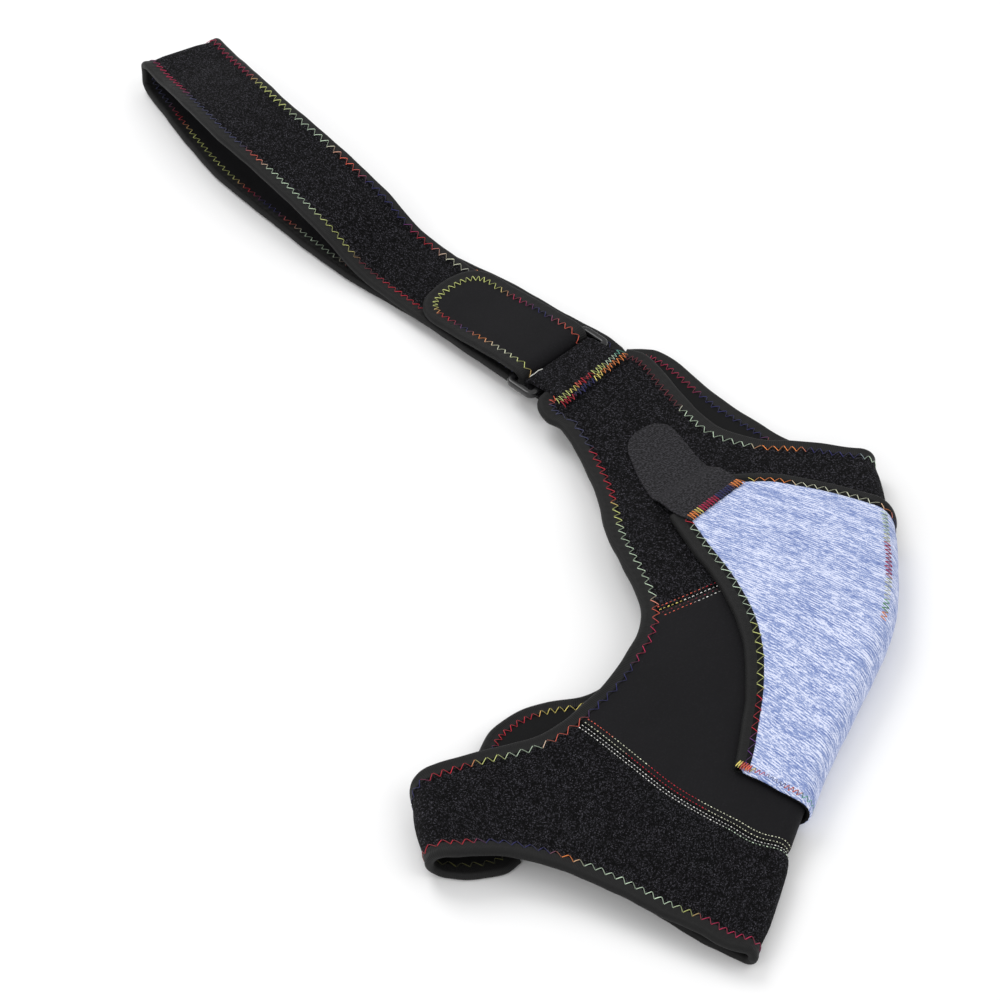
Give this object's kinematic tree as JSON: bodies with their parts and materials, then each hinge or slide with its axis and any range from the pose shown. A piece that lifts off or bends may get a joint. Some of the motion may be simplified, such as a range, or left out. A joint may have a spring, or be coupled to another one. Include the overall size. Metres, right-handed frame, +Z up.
{
  "type": "shoulder brace",
  "caption": "Neoprene shoulder brace lying folded flat: bound body panels, arm cuff, looped chest strap through a plastic ring, and a knitted flap over the shoulder fold.",
  "frame": {"origin": "middle of the bounding box of the brace as it lies, on the surface it rests on", "axes": "+Z up from the table; +Y from the cuff's hem towards the far end of the chest strap; +X towards the shoulder fold"},
  "size_m": [0.4018, 0.6546, 0.0348],
  "materials": {
    "loop_cloth": "black neoprene with a napped loop face",
    "smooth_cloth": "matte black neoprene with a smooth knitted face",
    "binding_tape": "ribbed black binding tape",
    "hook_cloth": "charcoal grey woven hook tape",
    "blue_knit": "heather blue knitted cloth",
    "gloss_plastic": "glossy black moulded plastic"
  },
  "bodies": {
    "root": {"yoke_loop_panel": "loop_cloth", "cap_smooth_panel": "smooth_cloth", "arm_band": "loop_cloth", "cross_strap": "loop_cloth", "strap_binding": "binding_tape", "strap_hook_patch": "hook_cloth", "buckle_ring": "gloss_plastic", "ring_carrier": "loop_cloth", "front_edge_binding": "binding_tape", "neck_binding": "binding_tape", "back_edge_binding": "binding_tape", "cuff_lower_binding": "binding_tape", "shoulder_pocket": "blue_knit", "pocket_side_binding": "binding_tape", "pocket_top_binding": "binding_tape", "pocket_hook_tab": "hook_cloth"}
  },
  "joints": []
}
